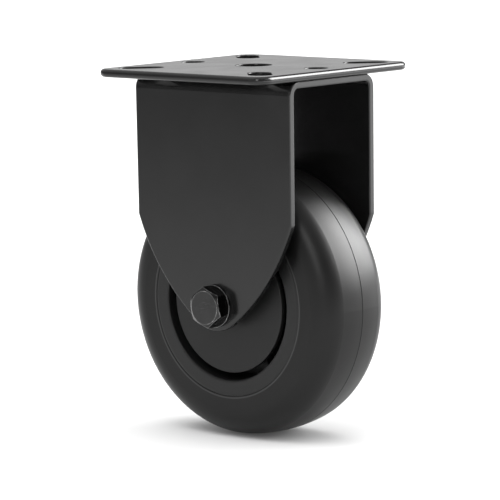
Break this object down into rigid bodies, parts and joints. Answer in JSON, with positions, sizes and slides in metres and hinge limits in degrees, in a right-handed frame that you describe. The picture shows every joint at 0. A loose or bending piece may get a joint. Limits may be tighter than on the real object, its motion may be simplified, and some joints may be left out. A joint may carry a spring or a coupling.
{
  "type": "fixed castor",
  "caption": "Fixed castor: a folded steel fork under a slotted top plate carries a rubber-tyred wheel that turns on ball bearings about a hexagon-head axle bolt.",
  "frame": {"origin": "centre of the plate's top face, the face that meets what the castor is screwed to", "axes": "+Z out of the plate's top face, X along the rolling direction, Y along the axle with the bolt's head on the -Y side"},
  "size_m": [0.075, 0.0646, 0.1023],
  "materials": {
    "black_paint": "satin black coating on steel sheet",
    "tyre_rubber": "smooth moulded black rubber with a soft sheen",
    "wheel_plastic": "matt moulded black plastic",
    "guard_plastic": "fine-grained moulded black plastic",
    "black_fastener": "glossy black finish on turned and forged steel",
    "zinc_steel": "zinc-plated steel",
    "bearing_steel": "ground bearing steel",
    "ball_steel": "polished bearing balls",
    "nylon": "natural nylon"
  },
  "bodies": {
    "frame": {"top_plate": "black_paint", "fork": "black_paint", "axle_bolt": "black_fastener", "head_washer": "black_fastener", "nut_washer": "black_fastener", "lock_nut": "black_fastener", "lock_nut_insert": "nylon", "head_side_spacer": "zinc_steel", "nut_side_spacer": "zinc_steel", "centre_spacer": "zinc_steel", "head_side_thread_guard": "guard_plastic", "nut_side_thread_guard": "guard_plastic", "head_side_bearing_inner_ring": "bearing_steel", "nut_side_bearing_inner_ring": "bearing_steel"},
    "wheel": {"tyre": "tyre_rubber", "wheel_centre": "wheel_plastic", "head_side_bearing_outer_ring": "bearing_steel", "nut_side_bearing_outer_ring": "bearing_steel", "head_side_bearing_outboard_shield": "zinc_steel", "head_side_bearing_inboard_shield": "zinc_steel", "nut_side_bearing_outboard_shield": "zinc_steel", "nut_side_bearing_inboard_shield": "zinc_steel"},
    "head_side_ball_set": {"head_side_bearing_balls": "ball_steel", "head_side_bearing_cage": "nylon"},
    "nut_side_ball_set": {"nut_side_bearing_balls": "ball_steel", "nut_side_bearing_cage": "nylon"}
  },
  "joints": [
    {"name": "wheel_spin", "type": "hinge", "parent": "frame", "child": "wheel", "pos_m": [0, 0, -0.06485], "axis": [0, 1, 0], "continuous": true},
    {"name": "head_side_ball_set_turn", "type": "hinge", "parent": "frame", "child": "head_side_ball_set", "pos_m": [0, -0.00705, -0.06485], "axis": [0, 1, 0], "continuous": true},
    {"name": "nut_side_ball_set_turn", "type": "hinge", "parent": "frame", "child": "nut_side_ball_set", "pos_m": [0, 0.00705, -0.06485], "axis": [0, 1, 0], "continuous": true}
  ],
  "couplings": [
    {"joint": "head_side_ball_set_turn", "follows": "wheel_spin", "ratio": 0.64},
    {"joint": "nut_side_ball_set_turn", "follows": "wheel_spin", "ratio": 0.64}
  ]
}
